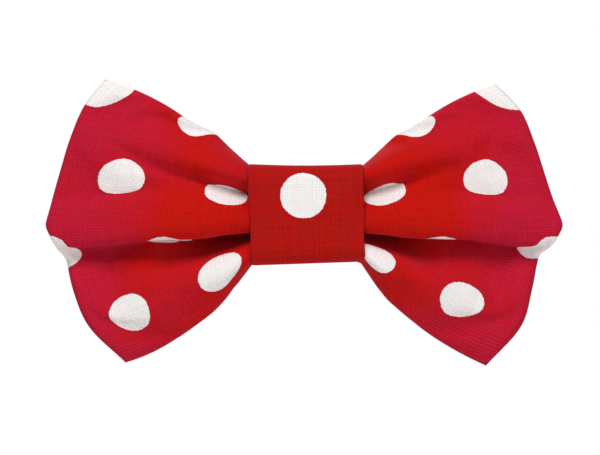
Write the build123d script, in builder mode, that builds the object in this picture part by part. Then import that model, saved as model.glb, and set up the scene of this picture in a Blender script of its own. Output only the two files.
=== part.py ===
from build123d import *
from math import atan2, cos, degrees, radians, sin
import os

# Slip-on bow tie: a sewn, lined bow gathered at its middle, a folded cloth knot band round the
# gather, and a webbing strap sewn behind the knot that closes round a collar with hook and loop.
#
# Frame: +X across the bow, +Z up, the front faces -Y. The origin is the centre of the collar slot,
# which is the space between the back of the knot and the closed strap. All sizes are millimetres.

# ---- driving dimensions -------------------------------------------------------------------------
# Bow, as half sizes from its middle
wing_reach = 57.4            # outer point of each wing
wing_reach_drop = 2.2        # that point lies this far below the middle line
top_tip_reach = 43.2         # upper corner of each wing, across
top_tip_rise = 29.9          # upper corner, above the middle line
bottom_tip_reach = 39.8      # lower corner, across
bottom_tip_drop = 34.0       # lower corner, below the middle line
notch_inset = 5.2            # dip in the outer edge where the fold runs out
notch_drop = 11.7            # height of that dip below the middle line
edge_bulge = 3.0             # how far the long edges bow outwards
corner_radius = 1.6          # turned corners of the wings
corner_draw = 1.6            # how much further a pointed corner draws in than an edge does
bow_thickness = 8.0          # puffed thickness of the gathered bow
soft_edge = 1.4              # rounding of the turned outer edges
waist_height = 17.2          # height of the gathered middle
fold_depth = 2.6             # depth of the crease that runs out from the knot
fold_mouth = 2.8             # height of the crease where it leaves the knot

# Layers and stitching
interfacing_thickness = 0.6
seam_allowance = 3.0         # the interfacing stops this far inside the bow's edge
seam_inset = 1.5             # the seam's stitch line, in from the edge
stitch_diameter = 0.4
stitch_length = 2.2
stitch_pitch = 3.0
closing_stitch_count = 9     # slip stitches that close the turning gap

# Knot
knot_width = 24.7            # across the bow
knot_height = 21.5
knot_depth = 13.0            # front to back
band_thickness = 0.7         # folded cotton
band_corner = 3.4            # roll of the band over the top and the bottom
band_lining = 0.5            # interfacing under the band
cinch_turns = 6              # turns of the gathering thread
cinch_thread = 0.4

# Collar slot and strap
slot_depth = 6.0             # collar thickness that fits
strap_width = 15.0
strap_thickness = 1.0
strap_span = 21.0            # height over both bends, inside the knot's height
tab_length = 8.0             # closure tab, above the lower bend
tape_thickness = 0.8         # hook tape and loop tape alike
tape_margin = 0.8            # edge of the strap left bare beside a tape
tape_height = 6.6
closure_gap = 0.15           # between the two tapes, where hooks and loops mesh
flap_overhang = 3.4          # grip past the end of the hook tape
hinge_setback = 1.0          # the fixed strap stops this far from the fold line
thread_gap = 0.25            # strap stands off the band by the thread between them
anchor_stitch_rows = 3
stitch_inset = 0.9           # stitch rows stand in from the edge that they hold
stitch_stand = 0.1           # how proud of the cloth a stitch lies
tape_corner = 0.8
grip_radius = 3.0            # rounded end of the flap

# ---- places that follow -------------------------------------------------------------------------
slot_front = -slot_depth / 2
slot_back = slot_depth / 2
strap_front = slot_front - strap_thickness
band_back = strap_front - thread_gap
band_middle = band_back - knot_depth / 2
bow_middle = band_middle
bow_front = bow_middle - bow_thickness / 2
bow_back = bow_middle + bow_thickness / 2
waist_half = waist_height / 2
neck_reach = knot_width / 2
crease_run_out = wing_reach - notch_inset

loop_face = slot_back + strap_thickness + tape_thickness
hook_face = loop_face + closure_gap
flap_inner = hook_face + tape_thickness
flap_outer = flap_inner + strap_thickness

lower_bend_outer = (slot_back + strap_thickness - strap_front) / 2
lower_bend_y = (slot_back + strap_thickness + strap_front) / 2
lower_bend_z = -strap_span / 2 + lower_bend_outer
upper_bend_outer = (flap_outer - strap_front) / 2
upper_bend_y = (flap_outer + strap_front) / 2
upper_bend_z = strap_span / 2 - upper_bend_outer
fold_line_z = strap_span / 2 - strap_thickness / 2
tab_top = lower_bend_z + tab_length
tape_top = tab_top - tape_margin
tape_bottom = tape_top - tape_height
flap_bottom = tape_bottom - flap_overhang
tape_width = strap_width - 2 * tape_margin

os.makedirs("parts", exist_ok=True)


def finish(piece, name):
    """Label a finished piece and write its STEP file."""
    piece.part.label = name
    export_step(piece.part, "parts/" + name + ".step")


def wing_outline(side, inset=0.0):
    """Draw one wing and its half of the waist, left or right by the sign of side.

    An inset draws the wing smaller all round, as a seam line or a lining needs.
    """
    with BuildLine() as edge:
        neck_top = (side * neck_reach, waist_half)
        neck_bottom = (side * neck_reach, -waist_half)
        top_tip = (side * (top_tip_reach - inset), top_tip_rise - corner_draw * inset)
        outer_tip = (side * (wing_reach - corner_draw * inset), -wing_reach_drop)
        notch = (side * (wing_reach - notch_inset - inset), -notch_drop)
        bottom_tip = (side * (bottom_tip_reach - inset), -bottom_tip_drop + corner_draw * inset)
        Line((0, waist_half), neck_top)
        SagittaArc(neck_top, top_tip, side * edge_bulge)
        SagittaArc(top_tip, outer_tip, side * edge_bulge / 2)
        Line(outer_tip, notch)
        SagittaArc(notch, bottom_tip, side * edge_bulge / 2)
        SagittaArc(bottom_tip, neck_bottom, side * edge_bulge)
        Line(neck_bottom, (0, -waist_half))
        Line((0, -waist_half), (0, waist_half))
    make_face(edge.edges())


def bow_outline(inset=0.0):
    """Draw the whole bow, both wings and the waist, with turned corners."""
    for side in (-1, 1):
        wing_outline(side, inset)
    corners = [
        v
        for v in vertices()
        if abs(v.X) > neck_reach + corner_radius
    ]
    fillet(corners, corner_radius)


# ---- bow ----------------------------------------------------------------------------------------
lining_half = interfacing_thickness / 2

with BuildPart() as lining_pocket:
    with BuildSketch(Plane.XZ.offset(-bow_middle)):
        bow_outline(seam_allowance)
    extrude(amount=lining_half, both=True)

with BuildPart() as bow_front_panel:
    with BuildSketch(Plane.XZ.offset(-bow_middle)):
        bow_outline()
    extrude(amount=bow_thickness / 2)
    rim = bow_front_panel.faces().sort_by(Axis.Y)[0].edges()
    fillet([e for e in rim if abs(e.center().X) > neck_reach], soft_edge)
    # the fold that runs out from the knot to the dip in each wing's edge
    with BuildSketch(Plane.XZ.offset(-bow_front)):
        for side in (-1, 1):
            with BuildLine() as fold:
                Polyline(
                    (side * neck_reach, -fold_mouth / 2),
                    (side * crease_run_out, -notch_drop + fold_mouth / 4),
                    (side * crease_run_out, -notch_drop - fold_mouth / 4),
                    (side * neck_reach, -fold_mouth * 3 / 2),
                    close=True,
                )
            make_face(fold.edges())
    extrude(amount=-fold_depth, mode=Mode.SUBTRACT)
    add(lining_pocket.part, mode=Mode.SUBTRACT)
finish(bow_front_panel, "bow_front_panel")

with BuildPart() as bow_back_panel:
    with BuildSketch(Plane.XZ.offset(-bow_middle)):
        bow_outline()
    extrude(amount=-bow_thickness / 2)
    rim = bow_back_panel.faces().sort_by(Axis.Y)[-1].edges()
    fillet([e for e in rim if abs(e.center().X) > neck_reach], soft_edge)
    add(lining_pocket.part, mode=Mode.SUBTRACT)
finish(bow_back_panel, "bow_back_panel")

with BuildPart() as bow_interfacing:
    add(lining_pocket.part)
finish(bow_interfacing, "bow_interfacing")

# The seam's stitches run round each wing between the panels, half in each.
seam_paths = []
for side in (-1, 1):
    with BuildSketch() as seam_shape:
        wing_outline(side, seam_inset)
    seam_paths.append(seam_shape.face().outer_wire())

with BuildPart() as bow_seam_stitches:
    for path in seam_paths:
        count = int(path.length / stitch_pitch)
        for index in range(count):
            spot = path @ (index / count)
            heading = path % (index / count)
            if abs(spot.X) > neck_reach + stitch_pitch:
                along = Plane(
                    origin=(spot.X, bow_middle, spot.Y),
                    z_dir=(heading.X, 0, heading.Y),
                )
                with Locations(along):
                    Cylinder(stitch_diameter / 2, stitch_length)
finish(bow_seam_stitches, "bow_seam_stitches")

# The gap left for turning the bow out is closed by hand, low on the back of one wing.
closing_start = neck_reach + stitch_pitch * 2
with BuildPart() as closing_stitches:
    for index in range(closing_stitch_count):
        across = closing_start + index * stitch_pitch
        with BuildSketch(Plane.XY.offset(-waist_half / 2)):
            with Locations((across, bow_back)):
                SlotOverall(stitch_length, stitch_diameter)
        extrude(amount=stitch_diameter)
finish(closing_stitches, "closing_stitches")

# ---- knot ---------------------------------------------------------------------------------------
lining_height = knot_height - 2 * band_thickness
lining_depth = knot_depth - 2 * band_thickness
core_height = lining_height - 2 * band_lining
core_depth = lining_depth - 2 * band_lining

with BuildPart() as knot_band:
    with BuildSketch(Plane.YZ):
        with Locations((band_middle, 0)):
            RectangleRounded(knot_depth, knot_height, band_corner)
            RectangleRounded(
                lining_depth, lining_height, band_corner - band_thickness, mode=Mode.SUBTRACT
            )
    extrude(amount=knot_width / 2, both=True)
finish(knot_band, "knot_band")

with BuildPart() as knot_interfacing:
    with BuildSketch(Plane.YZ):
        with Locations((band_middle, 0)):
            RectangleRounded(lining_depth, lining_height, band_corner - band_thickness)
            RectangleRounded(
                core_depth,
                core_height,
                band_corner - band_thickness - band_lining,
                mode=Mode.SUBTRACT,
            )
    extrude(amount=knot_width / 2 - seam_inset, both=True)
finish(knot_interfacing, "knot_interfacing")

with BuildPart() as cinch_thread_winding:
    winding = cinch_turns * cinch_thread
    with BuildSketch(Plane.YZ):
        with Locations((bow_middle, 0)):
            Rectangle(bow_thickness + 2 * cinch_thread, waist_height + 2 * cinch_thread)
            Rectangle(bow_thickness, waist_height, mode=Mode.SUBTRACT)
    extrude(amount=winding / 2, both=True)
    outer_long = cinch_thread_winding.edges().filter_by(Axis.X).group_by(
        lambda e: (Vector(0, bow_middle, 0) - Vector(0, e.center().Y, e.center().Z)).length
    )[-1]
    fillet(outer_long, cinch_thread * 0.8)
    with Locations((0, bow_middle, 0)):
        with GridLocations(cinch_thread, 1, cinch_turns - 1, 1):
            groove_height = waist_height + 2 * cinch_thread
            groove_depth = bow_thickness + 2 * cinch_thread
            for z_side in (-1, 1):
                with Locations((0, 0, z_side * groove_height / 2)):
                    Box(cinch_thread / 4, groove_depth + 1, cinch_thread / 2, mode=Mode.SUBTRACT)
            for y_side in (-1, 1):
                with Locations((0, y_side * groove_depth / 2, 0)):
                    Box(cinch_thread / 4, cinch_thread / 2, groove_height + 1, mode=Mode.SUBTRACT)
finish(cinch_thread_winding, "cinch_thread")

# The band's folded end is whipped down along one line across the back of the knot.
whip_line = -knot_height / 2 + band_corner + stitch_diameter
with BuildPart() as knot_closing_stitches:
    with BuildSketch(Plane.XZ.offset(-band_back - stitch_diameter / 2)):
        with Locations((0, whip_line)):
            with GridLocations(stitch_pitch, 1, int(knot_width / stitch_pitch), 1):
                SlotOverall(stitch_length * 0.8, stitch_diameter, rotation=70)
    extrude(amount=stitch_diameter / 2 + stitch_diameter / 4)
finish(knot_closing_stitches, "knot_closing_stitches")

# ---- strap --------------------------------------------------------------------------------------
# One length of webbing. The base is sewn to the knot and turns back below to make the closure tab.
# The flap starts at the fold line over the slot and swings open about it.
top_radius = upper_bend_outer - strap_thickness / 2
low_radius = lower_bend_outer - strap_thickness / 2
sewn_y = strap_front + strap_thickness / 2
tab_y = slot_back + strap_thickness / 2
flap_y = flap_inner + strap_thickness / 2
setback_turn = degrees(hinge_setback / top_radius)

with BuildPart() as strap_base:
    with BuildSketch(Plane.YZ):
        with BuildLine() as base_line:
            CenterArc(
                (upper_bend_y, upper_bend_z), top_radius, 90 + setback_turn, 90 - setback_turn
            )
            Line((sewn_y, upper_bend_z), (sewn_y, lower_bend_z))
            CenterArc((lower_bend_y, lower_bend_z), low_radius, 180, 180)
            Line((tab_y, lower_bend_z), (tab_y, tab_top))
        trace(base_line.line, line_width=strap_thickness)
    extrude(amount=strap_width / 2, both=True)
finish(strap_base, "strap_base")

with BuildPart() as strap_flap:
    with BuildSketch(Plane.YZ):
        with BuildLine() as flap_line:
            CenterArc((upper_bend_y, upper_bend_z), top_radius, 0, 90)
            Line((flap_y, upper_bend_z), (flap_y, flap_bottom))
        trace(flap_line.line, line_width=strap_thickness)
        with Locations((upper_bend_y, fold_line_z)):
            Circle(strap_thickness / 2)
    extrude(amount=strap_width / 2, both=True)
    grip_corners = strap_flap.edges().filter_by(Axis.Y).sort_by(Axis.Z)[:2]
    fillet(grip_corners, grip_radius)
finish(strap_flap, "strap_flap")


def closure_tape(name, face_y):
    """Make one tape of the closure, with rounded corners, its front face at face_y."""
    with BuildPart() as tape:
        with BuildSketch(Plane.XZ.offset(-face_y)):
            with Locations((0, (tape_top + tape_bottom) / 2)):
                RectangleRounded(tape_width, tape_height, tape_corner)
        extrude(amount=-tape_thickness)
    finish(tape, name)


closure_tape("loop_tape", loop_face - tape_thickness)
closure_tape("hook_tape", hook_face)


def stitch_row(start, end):
    """Place stitches evenly along a line, as (x, z, angle) with the angle from +X."""
    run = Vector(*end) - Vector(*start)
    count = int(run.length / stitch_pitch)
    angle = degrees(atan2(run.Y, run.X))
    spots = []
    for index in range(count):
        spot = Vector(*start) + run * ((index + 1 / 2) / count)
        spots.append((spot.X, spot.Y, angle))
    return spots


def stitches(name, spots, seen_y, inward, through):
    """Make stitches that lie on the face at seen_y, with legs that go through the layers.

    inward is +1 or -1, the way along Y from that face into the cloth.
    """
    with BuildPart() as thread:
        for x, z, angle in spots:
            face = Plane(
                origin=(x, seen_y - inward * stitch_stand, z),
                x_dir=(cos(radians(angle)), 0, sin(radians(angle))),
                z_dir=(0, inward, 0),
            )
            with BuildSketch(face):
                SlotOverall(stitch_length, stitch_diameter)
            extrude(amount=stitch_diameter)
            with BuildSketch(face):
                with GridLocations(stitch_length - stitch_diameter, 1, 2, 1):
                    Circle(stitch_diameter / 2)
            extrude(amount=through + stitch_stand)
    finish(thread, name)


tape_mid = (tape_top + tape_bottom) / 2
row_half = tape_width / 2 - stitch_inset
tape_row_half = tape_height / 2 - stitch_inset
tape_rows = []
for z_side in (-1, 1):
    level = tape_mid + z_side * tape_row_half
    tape_rows += stitch_row((-row_half, level), (row_half, level))

anchor_rows = []
anchor_low = lower_bend_z + stitch_inset
anchor_rise = (upper_bend_z - stitch_inset - anchor_low) / (anchor_stitch_rows - 1)
for row in range(anchor_stitch_rows):
    level = anchor_low + row * anchor_rise
    anchor_rows += stitch_row((-row_half, level), (row_half, level))

sewn_depth = strap_thickness + thread_gap + band_thickness / 2
tape_depth = strap_thickness + tape_thickness / 2
stitches("anchor_stitches", anchor_rows, slot_front, -1, sewn_depth)
stitches("loop_tape_stitches", tape_rows, slot_back, 1, tape_depth)
stitches("hook_tape_stitches", tape_rows, flap_outer, -1, tape_depth)
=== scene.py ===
"""Slip-on bow tie: a lined bow of dotted cotton, gathered in a folded knot, with a collar strap."""
import logging
import math
from collections.abc import Iterator
from contextlib import contextmanager
from dataclasses import dataclass, field
from enum import Enum

import bpy
import numpy as np
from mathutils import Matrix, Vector


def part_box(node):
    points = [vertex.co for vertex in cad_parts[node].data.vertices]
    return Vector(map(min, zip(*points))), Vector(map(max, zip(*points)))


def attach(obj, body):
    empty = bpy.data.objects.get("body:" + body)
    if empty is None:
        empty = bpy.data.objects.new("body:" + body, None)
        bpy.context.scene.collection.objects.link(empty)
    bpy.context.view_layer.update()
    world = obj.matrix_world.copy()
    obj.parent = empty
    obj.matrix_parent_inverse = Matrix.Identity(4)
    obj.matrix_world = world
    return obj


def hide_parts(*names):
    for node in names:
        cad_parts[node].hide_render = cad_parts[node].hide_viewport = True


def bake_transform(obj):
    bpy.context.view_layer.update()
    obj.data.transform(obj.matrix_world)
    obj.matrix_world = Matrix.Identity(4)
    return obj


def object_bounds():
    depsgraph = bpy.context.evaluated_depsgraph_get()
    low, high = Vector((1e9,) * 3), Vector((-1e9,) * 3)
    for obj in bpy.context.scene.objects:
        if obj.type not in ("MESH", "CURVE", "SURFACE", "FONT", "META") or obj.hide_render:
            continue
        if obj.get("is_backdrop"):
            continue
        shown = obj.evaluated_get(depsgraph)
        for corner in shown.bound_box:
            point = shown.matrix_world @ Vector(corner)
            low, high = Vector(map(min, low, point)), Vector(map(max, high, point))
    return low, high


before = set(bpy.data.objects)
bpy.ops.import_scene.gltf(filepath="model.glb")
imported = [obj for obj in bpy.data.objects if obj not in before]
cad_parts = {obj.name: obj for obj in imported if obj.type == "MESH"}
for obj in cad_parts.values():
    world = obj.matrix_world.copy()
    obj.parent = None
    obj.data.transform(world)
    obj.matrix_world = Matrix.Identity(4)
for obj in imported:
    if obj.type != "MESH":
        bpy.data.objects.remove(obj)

log = logging.getLogger("bow_tie")
MM = 0.001
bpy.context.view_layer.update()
Piece = bpy.types.Object
Material = bpy.types.Material
Colour = tuple[float, float, float, float]
Row = tuple[float, ...]


class Slot(Enum):
    """The record's material slots."""

    DOTTED = "dotted_cotton"
    LINING = "interfacing"
    THREAD = "sewing_thread"
    WEBBING = "strap_webbing"
    PILE = "loop_pile"
    HOOKS = "hook_tape"


class Side(Enum):
    """Which layer of the lined bow a panel is, by the way that its right side faces."""

    FRONT = 1.0
    BACK = -1.0


# ---- curves and grids ---------------------------------------------------------------------------


def smooth_step(low: float, high: float, at: np.ndarray) -> np.ndarray:
    """Rise smoothly from 0 at low to 1 at high.

    Args:
        low: where the rise starts.
        high: where it ends.
        at: places to read it at.

    Returns:
        A share from 0 to 1 for each place.
    """
    t = np.clip((at - low) / (high - low), 0.0, 1.0)
    return t * t * (3.0 - 2.0 * t)


def through(points: tuple[Row, ...], at: np.ndarray) -> np.ndarray:
    """Follow a smooth curve through points whose first number is the place along it.

    Args:
        points: rows of (place, value, value, ...), in rising order of place.
        at: places to read the curve at.

    Returns:
        One row of values for each place, with the place itself left out.
    """
    table = np.array(points, float)
    place, value = table[:, 0], table[:, 1:]
    chord = np.diff(value, axis=0) / np.diff(place)[:, None]
    slope = np.vstack([chord[:1], (chord[1:] + chord[:-1]) / 2.0, chord[-1:]])
    at = np.clip(at, place[0], place[-1])
    index = np.clip(np.searchsorted(place, at, side="right") - 1, 0, len(place) - 2)
    span = (place[index + 1] - place[index])[..., None]
    t = (at[..., None] - place[index][..., None]) / span
    start, end = value[index], value[index + 1]
    rise = (2 * t**3 - 3 * t**2 + 1) * start + (3 * t**2 - 2 * t**3) * end
    lean = (t**3 - 2 * t**2 + t) * slope[index] + (t**3 - t**2) * slope[index + 1]
    return rise + lean * span


def running_length(line: np.ndarray) -> np.ndarray:
    """Distance along a line of points, from its first point to each point."""
    return np.concatenate([[0], np.cumsum(np.linalg.norm(np.diff(line, axis=0), axis=1))])


@dataclass(frozen=True)
class Bell:
    """A soft spot on the flat cloth, full at its middle and fading down it and out along a wing."""

    size: float
    down: float
    down_width: float
    out: float = 0.0
    out_width: float = math.inf

    def at(self, down: np.ndarray, out: np.ndarray) -> np.ndarray:
        """Read the spot, by mm down the cloth and by share of the way out."""
        fall = ((down - self.down) / self.down_width) ** 2 + ((out - self.out) / self.out_width) ** 2
        return self.size * np.exp(-fall)


def grid_normals(points: np.ndarray) -> np.ndarray:
    """Work out unit normals over a grid of points.

    Args:
        points: rows by columns by 3.

    Returns:
        The cross product of the row direction and the column direction, made unit length.
    """
    normal = np.cross(np.gradient(points, axis=0), np.gradient(points, axis=1))
    return normal / np.maximum(np.linalg.norm(normal, axis=2, keepdims=True), 1e-12)


# ---- pieces -------------------------------------------------------------------------------------


def linked(name: str, data: bpy.types.ID) -> Piece:
    """Put data in the scene as an object.

    Args:
        name: the object's name.
        data: its mesh, light or camera.

    Returns:
        The new object, at the origin.
    """
    item = bpy.data.objects.new(name, data)
    bpy.context.scene.collection.objects.link(item)
    return item


def mesh_piece(name: str, points: np.ndarray, faces: list[list[int]]) -> Piece:
    """Make a piece from points and faces.

    Args:
        name: the piece's name.
        points: rows of x, y and z, in metres.
        faces: each face's corners, by number.

    Returns:
        The new object, at the origin.
    """
    mesh = bpy.data.meshes.new(name)
    mesh.from_pydata(points.tolist(), [], faces)
    mesh.update()
    return linked(name, mesh)


def quads(index: np.ndarray) -> list[list[int]]:
    """Join a grid of point numbers into quads."""
    corners = [index[:-1, :-1], index[1:, :-1], index[1:, 1:], index[:-1, 1:]]
    return np.stack(corners, axis=-1).reshape(-1, 4).tolist()


def grid_mesh(name: str, points: np.ndarray, flat: np.ndarray) -> Piece:
    """Make a sheet of quads from a grid, with its flat cloth coordinates as its UV map.

    Args:
        name: the piece's name.
        points: rows by columns by 3, in metres.
        flat: rows by columns by 2, the same points on the flat cloth, in metres.

    Returns:
        The new object, at the origin.
    """
    rows, columns = points.shape[:2]
    index = np.arange(rows * columns).reshape(rows, columns)
    piece = mesh_piece(name, points.reshape(-1, 3), quads(index))
    corner_points = np.zeros(len(piece.data.loops), int)
    piece.data.loops.foreach_get("vertex_index", corner_points)
    layer = piece.data.uv_layers.new(name="flat")
    layer.data.foreach_set("uv", flat.reshape(-1, 2)[corner_points].astype(np.float32).ravel())
    return piece


def copied_mesh(name: str, template: Piece, places: list[np.ndarray]) -> Piece:
    """Copy one modelled shape to many places, as one piece.

    Args:
        name: the new piece's name.
        template: the shape, modelled once at the origin; it is removed.
        places: a 4 by 4 matrix for each copy.

    Returns:
        The new object, at the origin.
    """
    shape = np.array([v.co for v in template.data.vertices], float)
    faces = [list(p.vertices) for p in template.data.polygons]
    points = [shape @ place[:3, :3].T + place[:3, 3] for place in places]
    starts = range(0, len(places) * len(shape), len(shape))
    polygons = [[corner + start for corner in face] for start in starts for face in faces]
    bpy.data.objects.remove(template)
    return mesh_piece(name, np.concatenate(points), polygons)


def frame_at(origin: np.ndarray, along: np.ndarray, out: np.ndarray) -> np.ndarray:
    """Make a 4 by 4 place whose X runs along a direction and whose Z points out.

    Args:
        origin: where it is.
        along: the direction of its X.
        out: roughly the direction of its Z.

    Returns:
        The matrix.
    """
    x = along / np.linalg.norm(along)
    y = np.cross(out, x)
    y = y / np.linalg.norm(y)
    place = np.eye(4)
    place[:3, 0], place[:3, 1], place[:3, 2] = x, y, np.cross(x, y)
    place[:3, 3] = origin
    return place


def select_only(piece: Piece) -> None:
    """Make one object the active one and the only one selected.

    Args:
        piece: the object.
    """
    bpy.ops.object.select_all(action="DESELECT")
    piece.hide_set(False)
    piece.select_set(True)
    bpy.context.view_layer.objects.active = piece


@contextmanager
def editing(selection: str = "SELECT") -> Iterator[None]:
    """Work on the active mesh in edit mode, and leave edit mode afterwards.

    Args:
        selection: SELECT or DESELECT for all of it, or nothing to keep what is selected.
    """
    bpy.ops.object.mode_set(mode="EDIT")
    if selection:
        bpy.ops.mesh.select_all(action=selection)
    yield
    bpy.ops.object.mode_set(mode="OBJECT")


def close_ends() -> None:
    """Fill the open ends of the mesh that is being edited."""
    bpy.ops.mesh.select_mode(type="VERT")
    bpy.ops.mesh.select_all(action="DESELECT")
    bpy.ops.mesh.select_non_manifold(extend=False)
    bpy.ops.mesh.edge_face_add()


def smooth(piece: Piece, angle: float = 50.0) -> None:
    """Apply every modifier of a piece, in order, and shade it smooth.

    Args:
        piece: the piece.
        angle: edges sharper than this stay sharp, in degrees.
    """
    select_only(piece)
    for modifier in list(piece.modifiers):
        bpy.ops.object.modifier_apply(modifier=modifier.name)
    bpy.ops.object.shade_smooth_by_angle(angle=math.radians(angle))


def thicken(piece: Piece, thickness: float, offset: float, finer: int = 1) -> None:
    """Give a sheet its cloth thickness and a finer surface, and shade it smooth.

    Args:
        piece: the sheet.
        thickness: of the cloth, in metres.
        offset: -1 to grow behind the faces, 1 in front of them, 0 both ways.
        finer: subdivisions of the surface.
    """
    if finer:
        surface = piece.modifiers.new("finer", "SUBSURF")
        surface.levels = surface.render_levels = finer
        surface.boundary_smooth = "PRESERVE_CORNERS"
    wall = piece.modifiers.new("cloth", "SOLIDIFY")
    wall.thickness = thickness
    wall.offset = offset
    smooth(piece)


def dress(piece: Piece, finish: Material, body: str = "bow", node: str = "") -> None:
    """Give a piece its finish and its body, hide the CAD solid that it stands for, and log it.

    Args:
        piece: the piece.
        finish: its material.
        body: the body that it rides on, or nothing to leave it unattached.
        node: the CAD solid, if it stands for one.
    """
    piece.data.materials.append(finish)
    if body:
        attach(piece, body)
    if node:
        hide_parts(node)
    log.info("%s: %d faces", piece.name, len(piece.data.polygons))


# ---- finishes -----------------------------------------------------------------------------------


class Nodes:
    """A small helper that adds nodes to a tree and links them."""

    def __init__(self, tree: bpy.types.NodeTree) -> None:
        """Keep the tree."""
        self.tree = tree

    def fill(self, node: bpy.types.Node, inputs: dict[str | int, object]) -> None:
        """Link each input's source to it, or set its value.

        Args:
            node: the node.
            inputs: a socket or a value for each input, by name or number.
        """
        for key, value in inputs.items():
            if isinstance(value, bpy.types.NodeSocket):
                self.tree.links.new(value, node.inputs[key])
            else:
                node.inputs[key].default_value = value

    def add(
        self, kind: str, inputs: dict[str | int, object] | None = None, **settings: object
    ) -> bpy.types.Node:
        """Add a node, with its properties set and its inputs fed.

        Args:
            kind: the node's type name, after ShaderNode.
            inputs: a socket or a value for each input, by name or number.
            settings: property names and values.

        Returns:
            The node.
        """
        node = self.tree.nodes.new("ShaderNode" + kind)
        for key, value in settings.items():
            setattr(node, key, value)
        self.fill(node, inputs or {})
        return node

    def math(self, operation: str, *values: object) -> object:
        """Add a Math node and return its result."""
        return self.add("Math", dict(enumerate(values)), operation=operation).outputs[0]

    def fit(self, value: object, gain: object, offset: object) -> object:
        """Multiply by a gain and add an offset."""
        return self.math("MULTIPLY_ADD", value, gain, offset)

    def clamp(self, value: object) -> object:
        """Keep a value between 0 and 1."""
        return self.add("Clamp", {"Value": value}).outputs[0]

    def mix(self, factor: object, first: object, second: object) -> object:
        """Mix two colours and return the result."""
        return self.add("Mix", {0: factor, 6: first, 7: second}, data_type="RGBA").outputs[2]

    def noise(self, vector: object, scale: float, detail: float = 2.0, kind: str = "3D") -> object:
        """Add a noise texture and return its factor."""
        inputs = {"Vector": vector, "Scale": scale, "Detail": detail}
        return self.add("TexNoise", inputs, noise_dimensions=kind).outputs["Fac"]

    def split(self, vector: object) -> object:
        """Split a vector and return its three outputs."""
        return self.add("SeparateXYZ", {0: vector}).outputs

    def bump(self, height: object, distance: float, **normal: object) -> object:
        """Turn a height, at a depth in metres, into a normal, over another one if Normal is given."""
        inputs = {"Strength": 1.0, "Distance": distance, "Height": height, **normal}
        return self.add("Bump", inputs).outputs["Normal"]

    def flat(self) -> object:
        """The piece's flat cloth coordinates, in metres."""
        return self.add("UVMap", uv_map="flat").outputs[0]

    def here(self) -> object:
        """The piece's own Object coordinates, in metres."""
        return self.add("TexCoord").outputs["Object"]


@dataclass(frozen=True)
class Effect:
    """An effect that several finishes share: a node group that is built once."""

    name: str
    inputs: tuple[str, ...]
    outputs: tuple[str, ...]

    def place(self, n: Nodes, vector: object, **values: float) -> bpy.types.Node:
        """Place the effect in a material.

        Args:
            n: the material's helper.
            vector: what feeds its Vector input.
            values: its number inputs by name.

        Returns:
            The group node.
        """
        tree = bpy.data.node_groups.get(self.name) or self.group()
        return n.add("Group", {"Vector": vector, **values}, node_tree=tree)

    def group(self) -> bpy.types.NodeTree:
        """Build the group, which takes a vector and numbers and puts out numbers.

        Returns:
            The group's node tree.
        """
        tree = bpy.data.node_groups.new(self.name, "ShaderNodeTree")
        tree.interface.new_socket("Vector", in_out="INPUT", socket_type="NodeSocketVector")
        for way, labels in (("INPUT", self.inputs), ("OUTPUT", self.outputs)):
            for label in labels:
                tree.interface.new_socket(label, in_out=way, socket_type="NodeSocketFloat")
        n = Nodes(tree)
        source, sink = tree.nodes.new("NodeGroupInput"), tree.nodes.new("NodeGroupOutput")
        n.fill(sink, self.wire(n, source.outputs))
        return tree

    def wire(self, n: Nodes, source: object) -> dict[str, object]:
        """Say what feeds each output, from the group's inputs; each effect has its own."""
        raise NotImplementedError


@dataclass(frozen=True)
class PlainWeave(Effect):
    """Threads that cross over and under, with uneven spinning.

    It takes the flat cloth coordinates and the thread pitch, in metres, and puts out the height of
    the threads, from 0 to 1, and a slow unevenness of the yarn.
    """

    name: str = "plain_weave"
    inputs: tuple[str, ...] = ("Pitch",)
    outputs: tuple[str, ...] = ("Height", "Yarn")
    wander_scale: float = 260.0
    wander: float = 0.7
    yarn_scales: tuple[float, float] = (90.0, 2200.0)

    def wire(self, n: Nodes, source: object) -> dict[str, object]:
        """Wire the group.

        Args:
            n: the group's helper.
            source: the group's inputs.

        Returns:
            What feeds each of its outputs.
        """
        vector, pitch = source["Vector"], source["Pitch"]
        loose = n.math("SUBTRACT", n.noise(vector, self.wander_scale, 1.0), 0.5)
        drift = n.math("MULTIPLY", loose, self.wander)
        place = n.split(vector)
        ridges, cells = [], []
        for axis in range(2):
            thread = n.math("ADD", n.math("DIVIDE", place[axis], pitch), drift)
            cells.append(n.math("FLOOR", thread))
            middle = n.math("SUBTRACT", n.math("FRACT", thread), 0.5)
            ridges.append(n.math("COSINE", n.math("MULTIPLY", middle, math.pi)))
        over = [n.math("MULTIPLY", a, n.fit(b, 0.5, 0.5)) for a, b in (ridges, ridges[::-1])]
        parity = n.math("FLOORED_MODULO", n.math("ADD", *cells), 2.0)
        height = n.add("Mix", {0: parity, 2: over[0], 3: over[1]}, data_type="FLOAT").outputs[0]
        yarns = []
        for scales in (self.yarn_scales, self.yarn_scales[::-1]):
            drawn = n.add("Mapping", {"Vector": vector, "Scale": (*scales, 1.0)}).outputs["Vector"]
            yarns.append(n.noise(drawn, 1.0, 1.0, "2D"))
        return {"Height": height, "Yarn": n.math("MULTIPLY", n.math("ADD", *yarns), 0.5)}


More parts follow.
